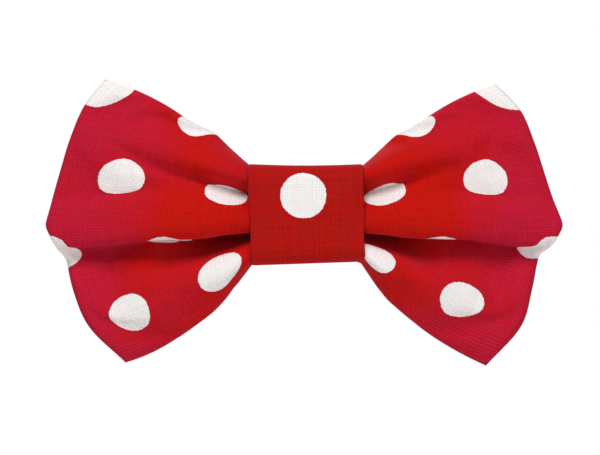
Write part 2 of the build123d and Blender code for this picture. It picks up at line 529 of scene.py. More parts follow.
@dataclass(frozen=True)
class PrintedDots(Effect):
    """Printed dots on a lattice whose alternate rows are shifted by half.

    It takes flat cloth coordinates, the spacing along a row, the row spacing, the dot's radius and
    the softness of its rim, in metres, and puts out a mask, 1 in a dot.
    """

    name: str = "printed_dots"
    inputs: tuple[str, ...] = ("Spacing", "Row", "Radius", "Rim")
    outputs: tuple[str, ...] = ("Mask",)
    ragged: tuple[float, float, float] = (1700.0, 2.0, 0.40 * MM)
    lobed: tuple[float, float, float] = (330.0, 1.0, 0.35 * MM)

    def wire(self, n: Nodes, source: object) -> dict[str, object]:
        """Wire the group.

        Args:
            n: the group's helper.
            source: the group's inputs.

        Returns:
            What feeds its output.
        """
        place = n.split(source["Vector"])
        row = n.math("DIVIDE", place[1], source["Row"])
        nearest_row = n.math("ROUND", row)
        shift = n.math("MULTIPLY", n.math("FLOORED_MODULO", nearest_row, 2.0), 0.5)
        column = n.math("SUBTRACT", n.math("DIVIDE", place[0], source["Spacing"]), shift)
        squares = []
        for at, nearest, size in (
            (column, n.math("ROUND", column), source["Spacing"]), (row, nearest_row, source["Row"])
        ):
            off = n.math("MULTIPLY", n.math("SUBTRACT", at, nearest), size)
            squares.append(n.math("MULTIPLY", off, off))
        reach = n.math("SQRT", n.math("ADD", *squares))
        for scale, detail, depth in (self.ragged, self.lobed):
            rough = n.math("SUBTRACT", n.noise(source["Vector"], scale, detail), 0.5)
            reach = n.math("ADD", reach, n.math("MULTIPLY", rough, depth))
        inside = n.math("DIVIDE", n.math("SUBTRACT", source["Radius"], reach), source["Rim"])
        return {"Mask": n.clamp(n.math("ADD", inside, 0.5))}


@dataclass(frozen=True)
class Finish:
    """A finish with its own name; each kind says what feeds its shader."""

    name: str

    def build(self) -> Material:
        """Make the material.

        Returns:
            The material, with a Principled shader.
        """
        material = bpy.data.materials.new(self.name)
        material.use_nodes = True
        n = Nodes(material.node_tree)
        n.fill(material.node_tree.nodes["Principled BSDF"], self.surface(n))
        return material

    def surface(self, n: Nodes) -> dict[str, object]:
        """Say what feeds the shader; each finish has its own."""
        raise NotImplementedError


@dataclass(frozen=True)
class DottedCotton(Finish):
    """Plain-woven red cotton with printed white dots, read from the flat cloth coordinates.

    The print's rows run along the cloth, or down it on a piece that is cut across the grain. The
    red turns cooler towards the cloth's two ends as painted sheen, and in random patches of tone.
    """

    name: str = "dotted_cotton"
    ground: Colour = (0.610, 0.0090, 0.0040, 1.0)
    # Pinker red: painted sheen towards the cloth's ends, and random patches of tone.
    ground_sheen_and_patch_pink: Colour = (0.570, 0.0130, 0.0460, 1.0)
    gap: Colour = (0.370, 0.0028, 0.0022, 1.0)
    dot: Colour = (0.975, 0.955, 0.94, 1.0)
    dot_gap: Colour = (0.76, 0.67, 0.65, 1.0)
    thread_pitch: float = 0.46 * MM
    thread_relief: float = 0.060 * MM
    crumple: tuple[float, float] = (160.0, 0.12 * MM)
    spacing: float = 23.0 * MM
    row: float = 19.9 * MM
    radius: float = 4.97 * MM
    rim: float = 0.12 * MM
    first_dot: tuple[float, float] = (0.0, 21.7 * MM)
    skew: float = 0.04
    cross_grain: bool = False
    # Painted sheen: where the pinker red starts along the cloth, and how far it takes to grow full.
    painted_sheen_from: float = 30.0 * MM
    painted_sheen_reach: float = 22.0 * MM
    cool_patches: tuple[float, float, float] = (42.0, 2.6, -1.35)

    def print_place(self, n: Nodes, flat: object) -> object:
        """Find where the print is read: moved to the first dot, off the grain, or turned.

        Args:
            n: the material's helper.
            flat: the flat cloth coordinates.

        Returns:
            The coordinates for the dots.
        """
        start = (-self.first_dot[0], -self.first_dot[1], 0.0)
        place = n.split(n.add("Mapping", {"Vector": flat, "Location": start}).outputs["Vector"])
        along = n.fit(place[1], self.skew, place[0])
        columns, rows = (1, 0) if self.cross_grain else (0, 1)
        return n.add("CombineXYZ", {columns: along, rows: place[1]}).outputs[0]

    def surface(self, n: Nodes) -> dict[str, object]:
        """Say what feeds the shader.

        Args:
            n: the material's helper.

        Returns:
            A socket or a value for each of the shader's inputs.
        """
        flat = n.flat()
        weave = PlainWeave().place(n, flat, Pitch=self.thread_pitch).outputs
        sizes = {"Spacing": self.spacing, "Row": self.row, "Radius": self.radius, "Rim": self.rim}
        dots = PrintedDots().place(n, self.print_place(n, flat), **sizes).outputs
        # Painted sheen: the red turns pinker towards the cloth's two ends; the noise adds random
        # patches of tone.
        far = n.math("SUBTRACT", n.math("ABSOLUTE", n.split(flat)[0]), self.painted_sheen_from)
        painted_end_sheen = n.math("MAXIMUM", n.math("DIVIDE", far, self.painted_sheen_reach), 0.0)
        scale, gain, offset = self.cool_patches
        sheen_and_patch_share = n.clamp(n.math("ADD", n.fit(n.noise(flat, scale), gain, offset), painted_end_sheen))
        thread = n.fit(weave["Yarn"], 1.1, -0.55)
        cover = n.clamp(n.math("ADD", n.fit(weave["Height"], 1.35, 0.08), thread))
        ground = n.mix(cover, self.gap, n.mix(sheen_and_patch_share, self.ground, self.ground_sheen_and_patch_pink))
        dot = n.mix(cover, self.dot_gap, self.dot)
        soft = n.bump(n.noise(flat, self.crumple[0], 3.0), self.crumple[1])
        relief = n.fit(weave["Yarn"], 0.5, weave["Height"])
        return {
            "Base Color": n.mix(dots["Mask"], ground, dot),
            "Roughness": n.fit(weave["Height"], -0.12, 0.92),
            "Normal": n.bump(relief, self.thread_relief, Normal=soft),
            "Specular IOR Level": 0.05,
            "Sheen Weight": 0.12,
            "Sheen Roughness": 0.35,
            "Sheen Tint": (1.0, 0.25, 0.62, 1.0),
        }


@dataclass(frozen=True)
class WovenTape(Finish):
    """A close woven synthetic tape with a rib across it, read from flat coordinates."""

    name: str = "strap_webbing"
    colour: Colour = (0.012, 0.012, 0.014, 1.0)
    pale: Colour = (0.055, 0.055, 0.062, 1.0)
    rib_pitch: float = 0.55 * MM
    relief: float = 0.07 * MM
    roughness: float = 0.50

    def surface(self, n: Nodes) -> dict[str, object]:
        """Say what feeds the shader.

        Args:
            n: the material's helper.

        Returns:
            A socket or a value for each of the shader's inputs.
        """
        flat = n.flat()
        weave = PlainWeave().place(n, flat, Pitch=self.rib_pitch).outputs
        tone = n.math("MULTIPLY", weave["Height"], n.noise(flat, 900.0))
        return {
            "Base Color": n.mix(tone, self.colour, self.pale),
            "Roughness": n.fit(weave["Yarn"], 0.25, self.roughness),
            "Normal": n.bump(weave["Height"], self.relief),
            "Sheen Weight": 0.15,
        }


@dataclass(frozen=True)
class SpunThread(Finish):
    """Sewing thread: two plies twisted together, with a little lustre."""

    name: str = "sewing_thread"
    colour: Colour = (0.42, 0.012, 0.028, 1.0)
    shade: Colour = (0.22, 0.004, 0.010, 1.0)
    twist: float = 2600.0

    def surface(self, n: Nodes) -> dict[str, object]:
        """Say what feeds the shader.

        Args:
            n: the material's helper.

        Returns:
            A socket or a value for each of the shader's inputs.
        """
        here = n.here()
        inputs = {"Vector": here, "Scale": self.twist, "Distortion": 1.5}
        ply = n.add("TexWave", inputs, wave_type="BANDS", bands_direction="DIAGONAL")
        fuzz = n.noise(here, 4200.0)
        tone = n.math("MULTIPLY", ply.outputs["Fac"], n.fit(fuzz, 0.5, 0.6))
        return {
            "Base Color": n.mix(tone, self.shade, self.colour),
            "Roughness": n.fit(fuzz, 0.3, 0.4),
            "Normal": n.bump(ply.outputs["Fac"], 0.04 * MM),
            "Sheen Weight": 0.2,
        }


@dataclass(frozen=True)
class BondedFelt(Finish):
    """Non-woven stiffener: short bonded fibres with pressed points."""

    name: str = "interfacing"
    colour: Colour = (0.80, 0.79, 0.75, 1.0)
    shade: Colour = (0.62, 0.60, 0.56, 1.0)

    def surface(self, n: Nodes) -> dict[str, object]:
        """Say what feeds the shader.

        Args:
            n: the material's helper.

        Returns:
            A socket or a value for each of the shader's inputs.
        """
        here = n.here()
        fibre, clump = n.noise(here, 2600.0, 4.0), n.noise(here, 420.0, 3.0)
        tone = n.math("MULTIPLY", fibre, n.fit(clump, 0.6, 0.7))
        return {
            "Base Color": n.mix(tone, self.shade, self.colour),
            "Roughness": n.fit(clump, 0.2, 0.78),
            "Normal": n.bump(fibre, 0.05 * MM),
        }


@dataclass(frozen=True)
class Nylon(Finish):
    """Nylon of the hook and the loop: dark, with broken gloss."""

    colour: Colour = (0.018, 0.018, 0.020, 1.0)
    pale: Colour = (0.060, 0.060, 0.066, 1.0)
    roughness: float = 0.35

    def surface(self, n: Nodes) -> dict[str, object]:
        """Say what feeds the shader.

        Args:
            n: the material's helper.

        Returns:
            A socket or a value for each of the shader's inputs.
        """
        fleck = n.noise(n.here(), 1900.0, 3.0)
        return {
            "Base Color": n.mix(fleck, self.colour, self.pale),
            "Roughness": n.fit(fleck, 0.3, self.roughness),
            "Normal": n.bump(fleck, 0.02 * MM),
        }


# ---- stitches -----------------------------------------------------------------------------------


@dataclass
class StitchLine:
    """A row of equal stitches, each at a place on a surface."""

    name: str
    replaces: str
    body: str = "bow"
    length: float = 2.0 * MM
    thickness: float = 0.36 * MM
    cuts: tuple[float, ...] = (-0.42, -0.3, -0.12, 0.12, 0.3, 0.42)
    lift: float = 0.35
    dive: float = 1.3
    taper: float = 0.45
    places: list[np.ndarray] = field(default_factory=list)

    def along(self, start: np.ndarray, end: np.ndarray, out: np.ndarray, pitch: float) -> None:
        """Add stitches along a straight line.

        Args:
            start: where the row starts.
            end: where it ends.
            out: away from the cloth.
            pitch: from one stitch to the next.
        """
        count = max(1, int(np.linalg.norm(end - start) / pitch))
        for number in range(count):
            middle = start + (end - start) * (number + 0.5) / count
            self.places.append(frame_at(middle, end - start, out))

    def stitch(self) -> Piece:
        """Model one seen stitch along X: a thread whose two ends dive into the cloth below it.

        Returns:
            The stitch, centred on the cloth's surface, with Z away from the cloth.
        """
        bpy.ops.object.select_all(action="DESELECT")
        bpy.ops.mesh.primitive_cylinder_add(
            vertices=8, radius=self.thickness / 2, depth=self.length, rotation=(0, math.pi / 2, 0)
        )
        stitch = bpy.context.active_object
        bpy.ops.object.transform_apply(location=False, rotation=True, scale=False)
        with editing():
            for cut in self.cuts:
                bpy.ops.mesh.select_all(action="SELECT")
                bpy.ops.mesh.bisect(plane_co=(cut * self.length, 0, 0), plane_no=(1, 0, 0))
        points = np.array([v.co for v in stitch.data.vertices], float)
        share = np.abs(points[:, 0]) / (self.length / 2)
        dive = np.clip((share - 0.5) / 0.5, 0.0, 1.0) ** 2
        points[:, 2] += self.thickness * (self.lift - self.dive * dive)
        points[:, 1] *= 1.0 - self.taper * dive
        stitch.data.vertices.foreach_set("co", points.ravel())
        stitch.data.update()
        with editing():
            bpy.ops.mesh.normals_make_consistent(inside=False)
        return stitch

    def build(self, finish: Material) -> None:
        """Make the row, dress it and put it on its body.

        Args:
            finish: the thread's material.
        """
        piece = copied_mesh(self.name, self.stitch(), self.places)
        smooth(piece, angle=60.0)
        dress(piece, finish, self.body, self.replaces)


# ---- bow ----------------------------------------------------------------------------------------


@dataclass
class GatheredBow:
    """The lined bow. Its flat cloth is a rectangle; places on it are (along, down) in mm.

    The knot line and the wing edge say where the gathered cloth goes, for places down the cloth.
    The knot line gives its depth and height where it leaves the knot, and how far out its fold
    runs. The wing edge gives its depth at the wing's outer end, then the left wing's reach and
    height and the right wing's. Depths are from the bow's middle. Pairs of sizes are left, right.
    """

    half_length: float = 59.5
    cut_height: float = 71.5
    gathered: float = 17.3
    neck: float = 12.35
    layer: float = 1.5
    edge_roll: float = 2.4
    cloth: float = 0.30 * MM
    felt: float = 0.35 * MM
    felt_inset: float = 3.0
    step: float = 1.1
    knot_line: tuple[Row, ...] = (
        (0.0, 4.3, 6.9, 0.60),
        (3.5, 3.2, 9.5, 0.60),
        (7.0, -0.2, 10.1, 0.80),
        (10.5, -3.4, 9.0, 0.82),
        (13.5, -4.4, 7.3, 0.74),
        (16.0, -2.4, 5.9, 0.64),
        (18.3, -0.6, 4.8, 0.58),
        (21.0, -1.3, 3.4, 0.54),
        (23.8, -2.9, 2.0, 0.54),
        (26.5, -4.2, 0.9, 0.66),
        (30.0, -4.9, -0.4, 1.00),
        (34.0, -5.1, -2.1, 1.15),
        (37.5, -3.8, -3.8, 1.22),
        (41.5, 1.4, -3.3, 1.34),
        (45.5, 4.3, -4.3, 1.32),
        (50.5, 1.5, -5.5, 1.00),
        (55.5, -2.7, -6.7, 0.95),
        (60.0, -4.3, -8.8, 0.90),
        (66.0, -2.2, -9.9, 0.80),
        (71.5, 1.6, -10.8, 0.60),
    )
    wing_edge: tuple[Row, ...] = (
        (0.0, 1.4, 45.2, 30.3, 42.6, 29.2),
        (6.1, 0.6, 49.6, 24.6, 47.7, 23.7),
        (14.0, 0.0, 53.1, 16.3, 51.0, 16.1),
        (19.7, -0.3, 54.7, 11.0, 52.7, 11.0),
        (28.0, -0.8, 56.6, 3.8, 54.9, 3.8),
        (33.0, -1.4, 57.6, -0.9, 56.5, -0.9),
        (34.4, -1.6, 57.9, -2.4, 56.9, -2.4),
        (36.0, -1.4, 57.3, -3.8, 56.3, -3.8),
        (41.5, 0.8, 55.1, -8.0, 54.0, -7.2),
        (44.6, 2.3, 53.8, -10.3, 52.3, -9.2),
        (46.2, 2.1, 53.6, -12.0, 52.0, -10.5),
        (51.0, 0.4, 52.3, -16.7, 50.6, -16.4),
        (60.0, -0.8, 48.7, -24.8, 48.0, -24.8),
        (71.5, 1.4, 40.6, -33.3, 40.3, -34.0),
    )
    tip_ease: Bell = Bell(0.06, 41.0, 5.0, 0.85, 0.12)
    upper_ease: Bell = Bell(0.025, 21.0, 8.0, 0.66, 0.22)
    inner_ease: Bell = Bell(0.020, 21.0, 7.0, 0.27, 0.13)
    tuck: Bell = Bell(2.0, 43.0, 4.5)
    crest_drop: Bell = Bell(1.2, 8.0, 4.0, 0.38, 0.2)
    crease: Bell = Bell(2.2, 45.0, 5.0, 0.28, 0.18)
    spring: Bell = Bell(0.30, 0.0, math.inf, 0.16, 0.13)
    brow: Bell = Bell(1.0, 14.5, 3.5)
    hem: Bell = Bell(1.0, 65.0, 7.0)
    bunching: Bell = Bell(9.0, 23.2, 8.2)
    bunch_limits: tuple[float, float] = (-5.1, 4.3)
    squeeze: float = 0.20
    waist_loft: float = 0.35
    waist_reach: float = 14.0
    belly: float = 1.6
    belly_reach: float = 0.8
    fold_fade: tuple[float, float] = (1.6, 1.1)
    top_span: tuple[float, float] = (0.0, 0.36)
    bottom_span: tuple[float, float] = (0.50, 1.05)
    ease_span: tuple[float, float] = (0.6, 0.95)
    lower_ease: tuple[float, float] = (0.04, -0.04)
    overhang: tuple[float, float] = (-0.2, 0.3)
    hem_lean: tuple[float, float] = (-0.6, 0.5)
    waist: tuple[float, float] = (1.5, 1.7)
    top_swell: tuple[float, float] = (3.15, 2.9)
    bottom_swell: tuple[float, float] = (3.6, 1.5)
    slip: tuple[float, float] = (2.8, 3.8)
    slip_from: float = 48.0
    slip_to: float = 66.0
    held_from: float = 0.5
    held_to: float = 7.0
    cloth_mass: float = 0.0005
    bending: float = 8.0
    slack: float = 0.02
    loft: float = 1.0
    settle_frames: int = 16
    settle_cap: float = 1.0
    seam_inset: float = 1.7
    seam_pitch: float = 2.9
    gap_across: tuple[float, float, float] = (27.0, 50.0, 2.6)
    gap_inset: float = 1.6

    def middle_depth(self) -> float:
        """Depth of the bow's middle plane, in mm, from the CAD's interfacing."""
        low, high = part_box("bow_interfacing")
        return (low.y + high.y) / 2 / MM

    def place(self, along: np.ndarray, down: np.ndarray) -> np.ndarray:
        """Find where points of the flat cloth lie in the gathered bow, half way through it.

        Args:
            along: place along the cloth from its middle, positive to the right, in mm.
            down: place down the cloth from its top edge, in mm.

        Returns:
            Points in mm, in the row frame.
        """
        left = along < 0
        release = 1.0 - smooth_step(self.slip_to, self.cut_height, down)
        slipped = smooth_step(self.slip_from, self.slip_to, down)
        down = down - np.where(left, *self.slip) * slipped * release
        knot_y, knot_z, reach = np.moveaxis(through(self.knot_line, down), -1, 0)
        edge_y, *ends = np.moveaxis(through(self.wing_edge, down), -1, 0)
        edge_x, edge_z = np.where(left, ends[0], ends[2]), np.where(left, ends[1], ends[3])
        length = self.half_length - self.gathered
        out = np.clip((np.abs(along) - self.gathered) / length, 0.0, 1.0)
        share = down / self.cut_height
        swell = 4.0 * out * (1.0 - out)
        ease = np.where(left, *self.lower_ease) * smooth_step(*self.ease_span, share) * swell
        reach_share = out + ease + self.tip_ease.at(down, out)
        reach_share = reach_share - self.upper_ease.at(down, out) - self.inner_ease.at(down, out)
        height_share = out ** (1.0 + self.tuck.at(down, out))
        top = 1.0 - smooth_step(*self.top_span, share)
        bottom = smooth_step(*self.bottom_span, share)
        rise, drop = np.where(left, *self.top_swell), np.where(left, *self.bottom_swell)
        x = self.neck + reach_share * (edge_x - self.neck)
        x = x - self.waist[0] * swell * top - self.waist[1] * swell * bottom
        fold = (1.0 - np.clip(out / reach, 0.0, 1.0) ** self.fold_fade[0]) ** self.fold_fade[1]
        hollow = np.sin(np.pi * np.clip(out / self.belly_reach, 0.0, 1.0))
        hollow = hollow * (1.0 - 0.5 * np.abs(2.0 * share - 1.0))
        y = knot_y * fold * (1.0 + self.spring.at(down, out)) + edge_y * (1.0 - fold)
        y = y - self.belly * hollow + self.crease.at(down, out)
        z = knot_z + height_share * (edge_z - knot_z)
        z = z + rise * swell * top - drop * swell * bottom - self.crest_drop.at(down, out)
        z = z + fold * np.where(left, *self.overhang) * self.brow.at(down, out)
        z = z + fold * np.where(left, *self.hem_lean) * self.hem.at(down, out)
        within = np.abs(along) < self.gathered
        inside = np.clip(np.abs(along) / self.gathered, 0.0, 1.0)
        squeeze = 1.0 - self.squeeze + self.squeeze * inside**2
        bunch = np.sin(np.pi * np.clip(along / self.gathered, -1.0, 1.0))
        packed = np.clip(knot_y + bunch * self.bunching.at(down, out), *self.bunch_limits)
        x = np.where(within, self.neck * inside, x)
        y = np.where(within, packed * squeeze, y)
        z = np.where(within, knot_z * squeeze, z)
        return np.stack([np.where(left, -x, x), y + self.middle_depth(), z], axis=-1)

    def flat_grid(self, inset: float, step: float) -> list[np.ndarray]:
        """Lay an even grid over the flat cloth.

        Args:
            inset: how far inside the cut edge it stops, in mm.
            step: size of its squares, in mm.

        Returns:
            Places along and places down, each rows by columns, in mm.
        """
        columns = 2 * round((self.half_length - inset) / step) + 1
        rows = round((self.cut_height - 2 * inset) / step) + 1
        along = np.linspace(-self.half_length + inset, self.half_length - inset, columns)
        return np.meshgrid(along, np.linspace(inset, self.cut_height - inset, rows))

    def layer_points(self, along: np.ndarray, down: np.ndarray, side: Side) -> np.ndarray:
        """Find one layer of the bow, which meets the other layer along the seam.

        Args:
            along: places along the cloth, in mm.
            down: places down the cloth, in mm.
            side: which layer.

        Returns:
            Points in metres.
        """
        middle = self.place(along, down)
        to_side = np.minimum(down, self.cut_height - down)
        to_edge = np.minimum(self.half_length - np.abs(along), to_side)
        roll = np.clip(1.0 - to_edge / self.edge_roll, 0.0, 1.0)
        stand = np.sqrt(np.maximum(1.0 - roll**2, 0.0))
        free = smooth_step(self.gathered, self.gathered + self.waist_reach, np.abs(along))
        narrow = self.waist_loft + (1.0 - self.waist_loft) * free
        offset = side.value * self.layer * stand * narrow
        return (middle + grid_normals(middle) * offset[..., None]) * MM

    def settle(self, layers: dict[Side, np.ndarray]) -> dict[Side, np.ndarray]:
        """Let the sewn bow settle as cloth, held at the gather, with a little air between layers.

        Args:
            layers: each panel's points, rows by columns by 3, which meet round their edge.

        Returns:
            The points after the simulation, none moved further than the cap.
        """
        rows, columns = layers[Side.FRONT].shape[:2]
        front = np.arange(rows * columns).reshape(rows, columns)
        back = front.copy()
        inner = (rows - 2) * (columns - 2)
        back[1:-1, 1:-1] = rows * columns + np.arange(inner).reshape(rows - 2, columns - 2)
        points = np.concatenate(
            [layers[Side.FRONT].reshape(-1, 3), layers[Side.BACK][1:-1, 1:-1].reshape(-1, 3)]
        )
        bow = mesh_piece("settling_bow", points, quads(front) + quads(back[:, ::-1]))
        select_only(bow)
        held = bow.vertex_groups.new(name="held")
        out = np.abs(points[:, 0]) / MM
        weights = 1.0 - smooth_step(self.neck + self.held_from, self.neck + self.held_to, out)
        edge = np.ones((rows, columns), bool)
        edge[1:-1, 1:-1] = False
        weights[front[edge]] = 1.0
        for index, weight in enumerate(weights):
            held.add([index], float(weight), "REPLACE")
        settings = bow.modifiers.new("cloth", "CLOTH").settings
        settings.vertex_group_mass = held.name
        settings.quality = 6
        settings.mass = self.cloth_mass
        settings.bending_stiffness = self.bending
        settings.shrink_min = -self.slack
        settings.use_pressure = True
        settings.uniform_pressure_force = self.loft
        settings.effector_weights.gravity = 0.0
        scene = bpy.context.scene
        for number in range(1, self.settle_frames + 1):
            scene.frame_set(number)
        bpy.ops.object.modifier_apply(modifier="cloth")
        move = np.array([v.co for v in bow.data.vertices], float) - points
        scene.frame_set(1)
        bpy.data.objects.remove(bow)
        far = np.linalg.norm(move, axis=1, keepdims=True)
        log.info("settling moved the cloth by up to %.2f mm", float(far.max()) / MM)
        move *= np.minimum(1.0, self.settle_cap * MM / np.maximum(far, 1e-9))
        points = points + move
        return {Side.FRONT: points[front], Side.BACK: points[back]}

    def panel(self, side: Side, points: np.ndarray, finish: Material) -> None:
        """Make one cloth panel of the bow.

        Args:
            side: which layer.
            points: its points, rows by columns by 3.
            finish: the cotton's material.
        """
        name = f"bow_{side.name.lower()}"
        flat = np.stack(self.flat_grid(0.0, self.step), axis=-1) * MM
        if side is Side.BACK:
            points, flat = points[:, ::-1], flat[:, ::-1]
        piece = grid_mesh(f"{name}_cloth", points, flat)
        thicken(piece, self.cloth, -1.0)
        dress(piece, finish, node=f"{name}_panel")

    def stiffener(self, finish: Material) -> None:
        """Make the interfacing between the panels.

        Args:
            finish: its material.
        """
        inset = self.felt_inset
        along, down = self.flat_grid(inset, 2 * self.step)
        flat = np.stack([along, down], axis=-1) * MM
        piece = grid_mesh("bow_stiffener", self.place(along, down) * MM, flat)
        thicken(piece, self.felt, 0.0, finer=0)
        dress(piece, finish, node="bow_interfacing")

    def seam(self, finish: Material) -> None:
        """Sew the panels together a little inside their edge.

        Args:
            finish: the thread's material.
        """
        row = StitchLine("bow_seam_thread", "bow_seam_stitches", thickness=0.3 * MM)
        end, foot = self.half_length - self.seam_inset, self.cut_height - self.seam_inset
        across = [at for at in np.arange(-end, end, self.seam_pitch) if abs(at) > self.gathered + 2.0]
        upright = np.arange(self.seam_inset, foot, self.seam_pitch)
        spots = [(at, edge, 1.0, 0.0) for edge in (self.seam_inset, foot) for at in across]
        spots += [(edge, at, 0.0, 1.0) for edge in (-end, end) for at in upright]
        for along, down, right, under in spots:
            pair = self.place(np.array([along, along + right]), np.array([down, down + under]))
            here, there = pair * MM
            row.places.append(frame_at(here, there - here, np.array([0.0, -1.0, 0.0])))
        row.build(finish)

    def turning_gap(self, finish: Material) -> None:
        """Close the turning gap with slip stitches, low on the back of the right wing.

        Args:
            finish: the thread's material.
        """
        row = StitchLine("turning_gap_thread", "closing_stitches", length=1.7 * MM)
        level = self.cut_height - self.gap_inset
        grid = np.meshgrid(np.arange(*self.gap_across), [level - 1.0, level, level + 1.0])
        spots = self.layer_points(*grid, Side.BACK)[1]
        for spot, ahead in zip(spots[:-1], spots[1:]):
            row.places.append(frame_at(spot, ahead - spot, np.array([0.0, 1.0, -0.6])))
        row.build(finish)

    def build(self, thread: Material, felt: Material) -> None:
        """Build the bow's pieces and dress them.

        Args:
            thread: the sewing thread's finish.
            felt: the interfacing's finish.
        """
        grid = self.flat_grid(0.0, self.step)
        layers = self.settle({side: self.layer_points(*grid, side) for side in Side})
        for side, name in ((Side.FRONT, "dotted_cotton_bow"), (Side.BACK, "dotted_cotton_back")):
            self.panel(side, layers[side], DottedCotton(name).build())
        self.stiffener(felt)
        self.seam(thread)
        self.turning_gap(thread)


# ---- knot ---------------------------------------------------------------------------------------


@dataclass
class KnotBand:
    """The folded band round the gather, its stiffener, its hand stitches and the gathering thread.

    Sizes are in mm, apart from the cloth's and the felt's thickness and the thread's radius.
    """

    corner: float = 3.2
    hem: float = 8.0
    hem_gap: float = 0.75
    roll: float = 0.42
    cloth: float = 0.30 * MM
    lap: float = 5.0
    lap_gap: float = 0.45
    lap_rise: tuple[float, float] = (9.0, 2.0)
    pillow: float = 0.27
    pillow_reach: float = 7.0
    left_lean: tuple[float, float] = (0.50, 0.1)
    right_lean: tuple[float, float] = (0.20, 0.0)
    top_sag: float = 0.30
    foot_rake: tuple[float, float] = (-0.35, 0.85)
    edge_wave: tuple[float, float] = (0.10, 0.55)
    felt: float = 0.35 * MM
    felt_depth: float = 1.35
    felt_inset: float = 1.5
    turns: int = 6
    thread: float = 0.2 * MM
    whip_pitch: float = 1.35 * MM
    whip_inset: float = 0.6 * MM
    dot: tuple[float, float] = (-0.7 * MM, -4.0 * MM)

    def half_sizes(self) -> tuple[float, float, float, float]:
        """Read the band's size from its CAD solid.

        Returns:
            Its half width, half depth, half height and middle depth, in mm.
        """
        low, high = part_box("knot_band")
        size = (high - low) / 2 / MM
        return size.x, size.y, size.z, (low.y + high.y) / 2 / MM

    def ring(self, go: np.ndarray, shrink: np.ndarray | float) -> tuple[np.ndarray, np.ndarray]:
        """Follow the band's rounded rectangle: flat runs, and a quarter turn at each corner.

        Args:
            go: distance from the middle of the front face, downwards positive, in mm.
            shrink: how far inside the band's outside it runs, in mm, for each point.

        Returns:
            Depths and heights, in mm.
        """
        _, deep, high, middle = self.half_sizes()
        y, z = deep - self.corner, high - self.corner
        arc = self.corner * math.pi / 2
        marks = np.cumsum([0, z, arc, 2 * y, arc, 2 * z, arc, 2 * y, arc, z])
        at = np.mod(go, marks[-1])
        turn = np.interp(at, marks, np.repeat([1.0, 1.5, 2.0, 2.5, 3.0], 2) * math.pi)
        centre_y = np.interp(at, marks, [-y, -y, -y, y, y, y, y, -y, -y, -y])
        centre_z = np.interp(at, marks, [0, -z, -z, -z, -z, z, z, z, z, 0])
        radius = self.corner - shrink
        return centre_y + radius * np.cos(turn) + middle, centre_z + radius * np.sin(turn)

    def length(self) -> float:
        """Distance once round the band, in mm."""
        _, deep, high, _ = self.half_sizes()
        return 4 * (deep + high) - 8 * self.corner + 2 * math.pi * self.corner

    def end_of_lap(self) -> float:
        """Where the band's folded end lies, as a distance from the middle of the front face.

        Returns:
            The distance down the front, under the knot and up its back, in mm.
        """
        _, deep, high, _ = self.half_sizes()
        low_stitch, high_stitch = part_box("knot_closing_stitches")
        seam_z = (low_stitch.z + high_stitch.z) / 2 / MM
        return 2 * (high - self.corner) + 2 * (deep - self.corner) + math.pi * self.corner + seam_z

    def section(self, half: float) -> np.ndarray:
        """Draw the band's section across: its face, and at each side a roll and a turned-in hem.

        Args:
            half: the band's half width.

        Returns:
            Rows of (place across, depth under the face), from one hem's raw edge to the other's.
        """
        turn = np.linspace(-math.pi / 2, math.pi / 2, 9)
        side = half - self.roll
        hem = np.stack([np.linspace(self.hem - half, -side, 8), np.full(8, self.hem_gap)], 1)
        depth = self.hem_gap / 2
        roll = np.stack([-side - self.roll * np.cos(turn), depth - depth * np.sin(turn)], 1)
        face = np.stack([np.linspace(-side, side, 30), np.zeros(30)], 1)
        mirror = [-1, 1]
        right_roll, right_hem = roll[::-1] * mirror, hem[::-1] * mirror
        return np.concatenate([hem, roll[1:-1], face, right_roll[1:-1], right_hem])

    def band(self, finish: Material) -> None:
        """Make the folded cloth band, with its sides turned in and its ends lapped behind.

        Args:
            finish: the cotton's material.
        """
        half, _, high, middle = self.half_sizes()
        seam, once = self.end_of_lap(), self.length()
        go = np.linspace(seam - once, seam + self.lap, 190)
        section = self.section(half)
        moved = running_length(section)
        grid_x, grid_go = np.meshgrid(section[:, 0], go)
        lapped = self.lap_gap * smooth_step(seam - self.lap_rise[0], seam - self.lap_rise[1], grid_go)
        crown = np.cos(np.clip(grid_x / half, -1, 1) * math.pi / 2)
        from_front = np.mod(grid_go + once / 2, once) - once / 2
        facing = np.exp(-((from_front / self.pillow_reach) ** 4))
        y, z = self.ring(grid_go, section[:, 1] + lapped - self.pillow * crown * facing)
        share = np.clip((grid_x / half + 1) / 2, 0, 1)
        drop = np.clip(-z / high, -1, 1)
        leans = [slope * drop + start for slope, start in (self.left_lean, self.right_lean)]
        lean = np.where(grid_x < 0, *leans) * np.clip((middle - y) / 4.0, 0, 1)
        sag = -self.top_sag * np.sin(math.pi * share) * smooth_step(0.6, 1.0, -drop)
        rake = (self.foot_rake[0] + self.foot_rake[1] * share) * smooth_step(0.5, 1.0, drop)
        size, pace = self.edge_wave
        wave = size * np.sin(grid_go * pace + np.where(grid_x < 0, 0.0, 2.0))
        at_side = np.clip(np.abs(grid_x) / half, 0, 1) ** 6
        points = np.stack([grid_x + (lean + wave) * at_side, y, z + sag + rake], axis=-1) * MM
        flat = np.stack(np.meshgrid(moved - moved[-1] / 2, go), axis=-1) * MM
        piece = grid_mesh("knot_band_cloth", points[:, ::-1], flat[:, ::-1])
        thicken(piece, self.cloth, -1.0)
        dress(piece, finish, node="knot_band")

    def lining(self, finish: Material) -> None:
        """Make the stiffener inside the band.

        Args:
            finish: its material.
        """
        half, once = self.half_sizes()[0] - self.felt_inset, self.length()
        go = np.linspace(-once / 2, once / 2, 120)
        grid_x, grid_go = np.meshgrid(np.linspace(-half, half, 14), go)
        points = np.stack([grid_x, *self.ring(grid_go, self.felt_depth)], axis=-1) * MM
        flat = np.stack([grid_x, grid_go], axis=-1) * MM
        piece = grid_mesh("knot_stiffener", points[:, ::-1], flat[:, ::-1])
        thicken(piece, self.felt, -1.0, finer=0)
        dress(piece, finish, node="knot_interfacing")

